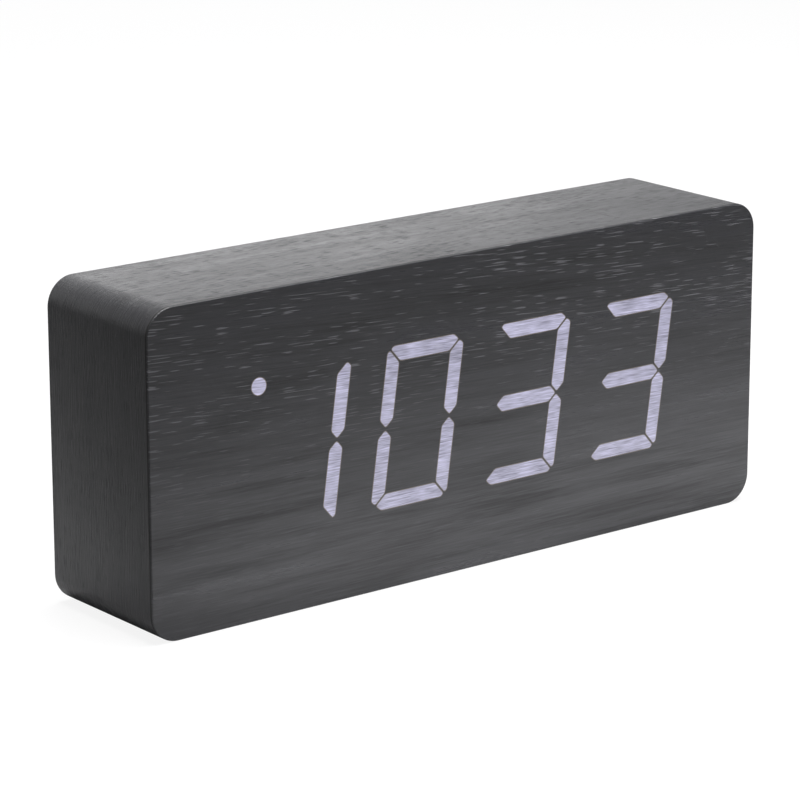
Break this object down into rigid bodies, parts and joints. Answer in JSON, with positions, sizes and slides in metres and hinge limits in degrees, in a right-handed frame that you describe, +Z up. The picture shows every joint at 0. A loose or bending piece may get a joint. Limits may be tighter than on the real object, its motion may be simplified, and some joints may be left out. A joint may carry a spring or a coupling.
{
  "type": "digital alarm clock",
  "caption": "Free-standing digital alarm clock: a veneered block whose seven-segment digits shine through the front, with rear buttons, power socket and battery bay.",
  "frame": {"origin": "centre of the base, on the surface the clock stands on", "axes": "+X along the width, to the right of someone who reads the digits; +Y from the front face towards the rear cover; +Z up"},
  "size_m": [0.21, 0.046, 0.089],
  "materials": {
    "veneered_case": "satin",
    "front_veneer": "satin",
    "film": "matte",
    "black_moulding": "matte",
    "lit_guide": "gloss",
    "unlit_guide": "gloss",
    "board": "satin",
    "led_resin": "gloss",
    "zinc_screw": "satin",
    "black_screw": "satin",
    "chip": "matte",
    "nickel": "satin",
    "switch_body": "satin",
    "switch_can": "satin",
    "button_plastic": "satin",
    "sensor_glass": "gloss",
    "ribbon": "satin",
    "header_plastic": "satin",
    "cell_jacket": "gloss",
    "red_insulation": "satin",
    "black_insulation": "satin"
  },
  "bodies": {
    "case": {"aaa_cell_1": "cell_jacket", "aaa_cell_2": "cell_jacket", "aaa_cell_3": "cell_jacket", "aaa_cell_4": "cell_jacket", "alarm_dot": "lit_guide", "battery_bay": "black_moulding", "battery_contacts": "nickel", "battery_lead_black": "black_insulation", "battery_lead_red": "red_insulation", "battery_springs": "nickel", "buzzer": "switch_body", "clock_crystal": "switch_can", "colon_dots": "unlit_guide", "control_board": "board", "control_board_screws": "zinc_screw", "control_header": "header_plastic", "control_panel": "black_moulding", "controller_chip": "chip", "cover_screws": "black_screw", "diffuser_film": "film", "digit_1_dark_segments": "unlit_guide", "digit_1_lit_segments": "lit_guide", "digit_2_dark_segments": "unlit_guide", "digit_2_lit_segments": "lit_guide", "digit_3_dark_segments": "unlit_guide", "digit_3_lit_segments": "lit_guide", "digit_4_dark_segments": "unlit_guide", "digit_4_lit_segments": "lit_guide", "display_board": "board", "display_driver": "chip", "display_header": "header_plastic", "display_screws": "zinc_screw", "front_veneer": "front_veneer", "housing": "veneered_case", "light_frame": "black_moulding", "microphone": "switch_can", "power_socket": "switch_body", "rear_cover": "black_moulding", "ribbon_cable": "ribbon", "segment_leds": "led_resin", "slide_switch": "switch_can", "socket_pin": "nickel", "tact_switches": "switch_body", "temperature_sensor": "sensor_glass"},
    "set_button": {"set_button": "button_plastic", "set_switch_stem": "button_plastic"},
    "up_button": {"up_button": "button_plastic", "up_switch_stem": "button_plastic"},
    "down_button": {"down_button": "button_plastic", "down_switch_stem": "button_plastic"},
    "sound_slide": {"sound_slide_knob": "button_plastic"},
    "battery_door": {"battery_door": "black_moulding"}
  },
  "joints": [
    {"name": "set_press", "type": "slide", "parent": "case", "child": "set_button", "axis": [0, -1, 0], "range_m": [0, 0.0005], "stiffness_N_per_m": 1500, "springref_m": -0.0003},
    {"name": "up_press", "type": "slide", "parent": "case", "child": "up_button", "axis": [0, -1, 0], "range_m": [0, 0.0005], "stiffness_N_per_m": 1500, "springref_m": -0.0003},
    {"name": "down_press", "type": "slide", "parent": "case", "child": "down_button", "axis": [0, -1, 0], "range_m": [0, 0.0005], "stiffness_N_per_m": 1500, "springref_m": -0.0003},
    {"name": "sound_slide_travel", "type": "slide", "parent": "case", "child": "sound_slide", "axis": [1, 0, 0], "range_m": [0, 0.002]},
    {"name": "battery_door_tilt", "type": "hinge", "parent": "case", "child": "battery_door", "pos_m": [0.066, 0.02, 0.0445], "axis": [0, 0, -1], "range_deg": [0, 25]}
  ]
}
